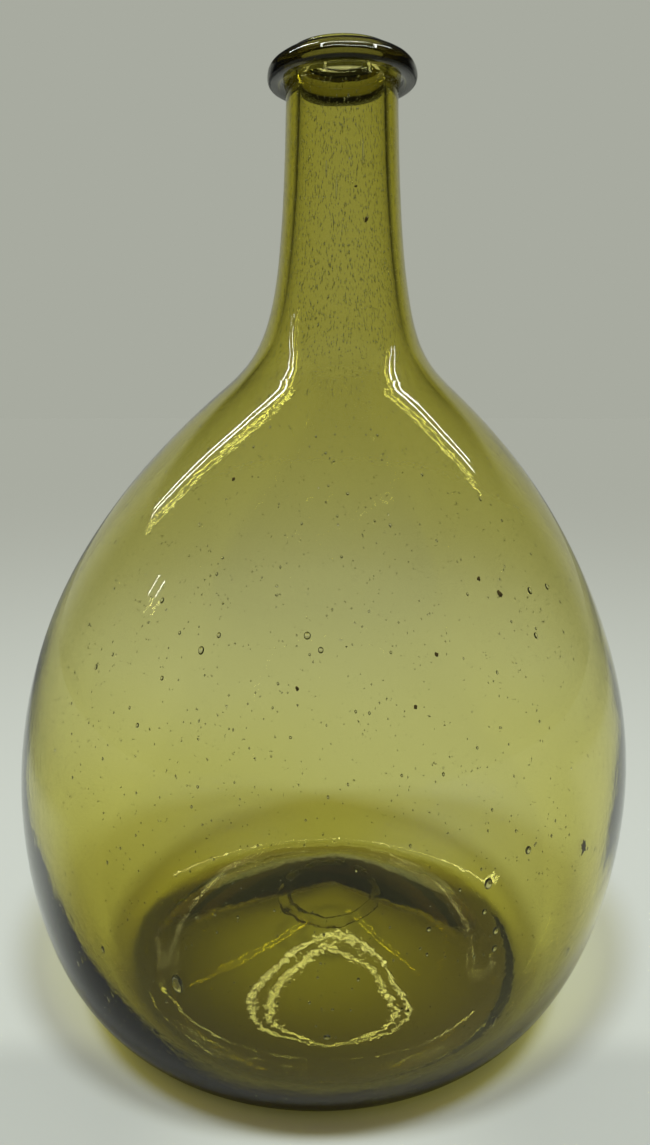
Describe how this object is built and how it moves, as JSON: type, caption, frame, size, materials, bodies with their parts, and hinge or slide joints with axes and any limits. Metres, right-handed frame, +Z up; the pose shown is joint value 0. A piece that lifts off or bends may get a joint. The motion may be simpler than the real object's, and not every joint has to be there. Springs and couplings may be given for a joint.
{
  "type": "chestnut flask",
  "caption": "Free-blown globular glass bottle with a long neck, a wound-on lip and a pushed-up base with a ring-shaped pontil scar.",
  "frame": {"origin": "centre of the bounding box's underside: on the resting plane, under the middle of the body's widest ring", "axes": "+Z up along the bottle from the base to the mouth; +X to the right seen from the front; the neck leans 4.6 mm towards +X"},
  "size_m": [0.1566, 0.1566, 0.24],
  "materials": {
    "olive_glass": "clear olive glass with seeds and bubbles",
    "lip_glass": "clear olive glass, fire-polished, darker because it is thicker",
    "scar_glass": "olive glass, broken off rough"
  },
  "bodies": {
    "root": {"flask_body": "olive_glass", "applied_lip": "lip_glass", "pontil_scar": "scar_glass"}
  },
  "joints": []
}
